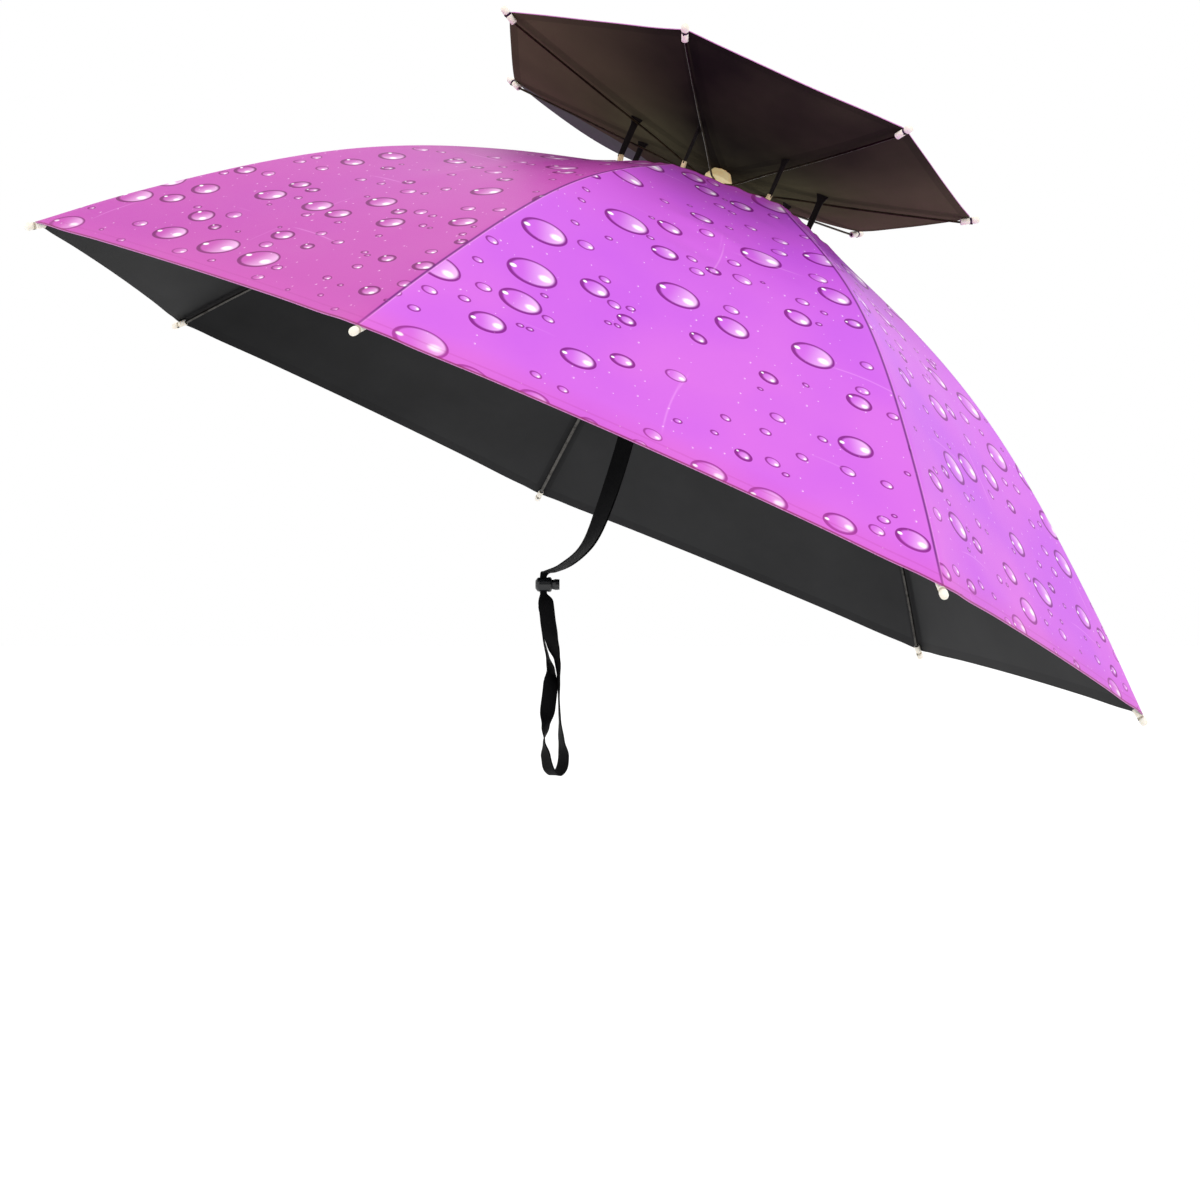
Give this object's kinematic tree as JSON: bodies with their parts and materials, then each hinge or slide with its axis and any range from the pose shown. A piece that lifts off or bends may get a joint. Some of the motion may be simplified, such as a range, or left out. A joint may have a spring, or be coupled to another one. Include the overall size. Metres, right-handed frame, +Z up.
{
  "type": "umbrella hat",
  "caption": "Hands-free umbrella hat with a large vented canopy, a small upper canopy on its hub, wire ribs, headband and chin strap.",
  "frame": {"origin": "middle of the headband on the hat's axis, where the wearer's head carries the hat", "axes": "+Z up, -X the way the wearer looks, +Y to the wearer's right; the canopies stand tilted back toward +X"},
  "size_m": [0.6919, 0.7537, 0.4841],
  "materials": {
    "lower_cloth": "printed polyester, satin",
    "upper_cloth": "printed polyester, dark coated underside",
    "rib_wire": "drawn steel wire",
    "tip_plastic": "moulded, satin",
    "hub_plastic": "moulded, glossy",
    "clip_plastic": "moulded, satin",
    "black_webbing": "woven elastic webbing",
    "slider_plastic": "moulded, satin"
  },
  "bodies": {
    "root": {"lower_canopy": "lower_cloth", "upper_canopy": "upper_cloth", "lower_rib_1": "rib_wire", "upper_rib_1": "rib_wire", "lower_tip_1": "tip_plastic", "upper_tip_1": "tip_plastic", "rib_clip_1": "clip_plastic", "vent_tie_1": "black_webbing", "band_hanger_1": "black_webbing", "lower_rib_2": "rib_wire", "upper_rib_2": "rib_wire", "lower_tip_2": "tip_plastic", "upper_tip_2": "tip_plastic", "rib_clip_2": "clip_plastic", "vent_tie_2": "black_webbing", "band_hanger_2": "black_webbing", "lower_rib_3": "rib_wire", "upper_rib_3": "rib_wire", "lower_tip_3": "tip_plastic", "upper_tip_3": "tip_plastic", "rib_clip_3": "clip_plastic", "vent_tie_3": "black_webbing", "band_hanger_3": "black_webbing", "lower_rib_4": "rib_wire", "upper_rib_4": "rib_wire", "lower_tip_4": "tip_plastic", "upper_tip_4": "tip_plastic", "rib_clip_4": "clip_plastic", "vent_tie_4": "black_webbing", "band_hanger_4": "black_webbing", "lower_rib_5": "rib_wire", "upper_rib_5": "rib_wire", "lower_tip_5": "tip_plastic", "upper_tip_5": "tip_plastic", "rib_clip_5": "clip_plastic", "vent_tie_5": "black_webbing", "band_hanger_5": "black_webbing", "lower_rib_6": "rib_wire", "upper_rib_6": "rib_wire", "lower_tip_6": "tip_plastic", "upper_tip_6": "tip_plastic", "rib_clip_6": "clip_plastic", "vent_tie_6": "black_webbing", "band_hanger_6": "black_webbing", "lower_rib_7": "rib_wire", "upper_rib_7": "rib_wire", "lower_tip_7": "tip_plastic", "upper_tip_7": "tip_plastic", "rib_clip_7": "clip_plastic", "vent_tie_7": "black_webbing", "band_hanger_7": "black_webbing", "hub": "hub_plastic", "top_button": "tip_plastic", "headband": "black_webbing", "chin_strap": "black_webbing", "strap_slider": "slider_plastic"}
  },
  "joints": []
}
